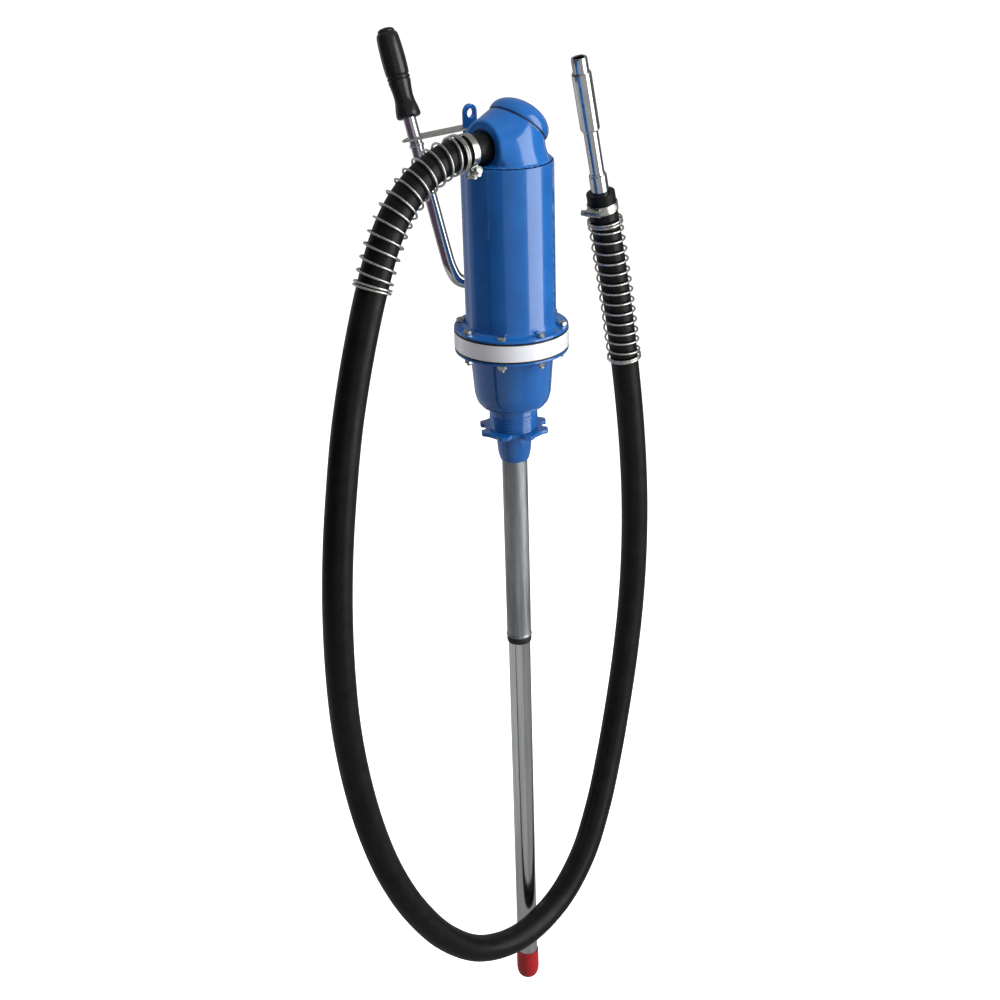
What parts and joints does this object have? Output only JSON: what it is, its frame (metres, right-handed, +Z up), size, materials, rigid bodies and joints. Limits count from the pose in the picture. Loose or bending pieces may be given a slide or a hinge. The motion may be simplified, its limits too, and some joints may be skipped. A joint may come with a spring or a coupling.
{
  "type": "drum barrel pump",
  "caption": "Hand-lever pump for a drum: a telescopic suction tube under a threaded neck, a lever-worked cylinder, and an outlet hose with spring guards and a nozzle.",
  "frame": {"origin": "on the pump's upright axis at the bung seat, the flat seat under the bowl around the threaded neck, inside a 6 mm lip", "axes": "+Z up along the pump's axis, -X toward the outlet, +Y toward the lever"},
  "size_m": [0.5508, 0.2915, 1.3333],
  "materials": {
    "blue_paint": "gloss",
    "black_rubber": "matt",
    "hose_rubber": "satin",
    "zinc": "bright zinc plate",
    "spring_wire": "bright",
    "white_band": "gloss",
    "brass": "satin",
    "galvanised_tube": "satin",
    "bright_tube": "bright",
    "red_cap": "satin",
    "chrome": "polished",
    "grip_plastic": "satin"
  },
  "bodies": {
    "pump": {"head_casting": "blue_paint", "dome_cap": "blue_paint", "dome_gasket": "black_rubber", "outlet_adapter": "zinc", "cylinder": "blue_paint", "upper_gasket": "black_rubber", "valve_plate": "zinc", "label_band": "white_band", "lower_gasket": "black_rubber", "bowl": "blue_paint", "flange_bolt_1": "zinc", "flange_bolt_2": "zinc", "flange_bolt_3": "zinc", "flange_bolt_4": "zinc", "flange_bolt_5": "zinc", "flange_bolt_6": "zinc", "flange_bolt_7": "zinc", "flange_bolt_8": "zinc", "flange_nut_1": "zinc", "flange_nut_2": "zinc", "flange_nut_3": "zinc", "flange_nut_4": "zinc", "flange_nut_5": "zinc", "flange_nut_6": "zinc", "flange_nut_7": "zinc", "flange_nut_8": "zinc", "bung_neck": "blue_paint", "tube_socket": "blue_paint", "upper_tube": "galvanised_tube", "tube_seal": "black_rubber", "shaft_bush": "brass", "shaft_seal": "black_rubber", "gland_nut": "zinc", "hose": "hose_rubber", "outlet_clamp": "zinc", "outlet_clamp_bolt": "zinc", "outlet_spring": "spring_wire", "nozzle_clamp": "zinc", "nozzle_clamp_screw": "zinc", "nozzle_spring": "spring_wire", "nozzle_stem": "chrome", "nozzle_sleeve": "chrome", "nozzle_mouth": "chrome"},
    "lug_ring": {"lug_ring": "blue_paint"},
    "lever": {"lever_rod": "chrome", "grip": "grip_plastic", "grip_button": "grip_plastic", "cross_shaft": "chrome", "drive_arm": "zinc"},
    "hasp": {"hasp": "zinc"},
    "piston_drive": {"crosshead": "zinc", "piston_rod": "chrome", "piston": "brass", "piston_ring": "black_rubber"},
    "piston_valve": {"piston_valve": "brass"},
    "foot_valve": {"foot_valve": "brass"},
    "lower_tube": {"lower_tube": "bright_tube"},
    "end_cap": {"end_cap": "red_cap"}
  },
  "joints": [
    {"name": "lever_swing", "type": "hinge", "parent": "pump", "child": "lever", "pos_m": [0, 0.054, 0.124], "axis": [-1, 0, 0], "range_deg": [0, 55]},
    {"name": "piston_stroke", "type": "slide", "parent": "pump", "child": "piston_drive", "axis": [0, 0, 1], "range_m": [0, 0.0499]},
    {"name": "piston_valve_lift", "type": "slide", "parent": "piston_drive", "child": "piston_valve", "axis": [0, 0, 1], "range_m": [0, 0.004]},
    {"name": "foot_valve_lift", "type": "slide", "parent": "pump", "child": "foot_valve", "axis": [0, 0, 1], "range_m": [0, 0.0045]},
    {"name": "hasp_lift", "type": "hinge", "parent": "lever", "child": "hasp", "pos_m": [0, 0.16669, 0.296], "axis": [-1, 0, 0], "range_deg": [0, 20]},
    {"name": "lug_ring_turn", "type": "hinge", "parent": "pump", "child": "lug_ring", "pos_m": [0, 0, -0.0385], "axis": [0, 0, 1], "continuous": true},
    {"name": "lower_tube_slide", "type": "slide", "parent": "pump", "child": "lower_tube", "axis": [0, 0, 1], "range_m": [-0.03, 0.19]},
    {"name": "end_cap_pull", "type": "slide", "parent": "lower_tube", "child": "end_cap", "axis": [0, 0, -1], "range_m": [0, 0.045]}
  ],
  "couplings": [
    {"joint": "piston_stroke", "follows": "lever_swing", "m_per_rad": 0.05195}
  ]
}
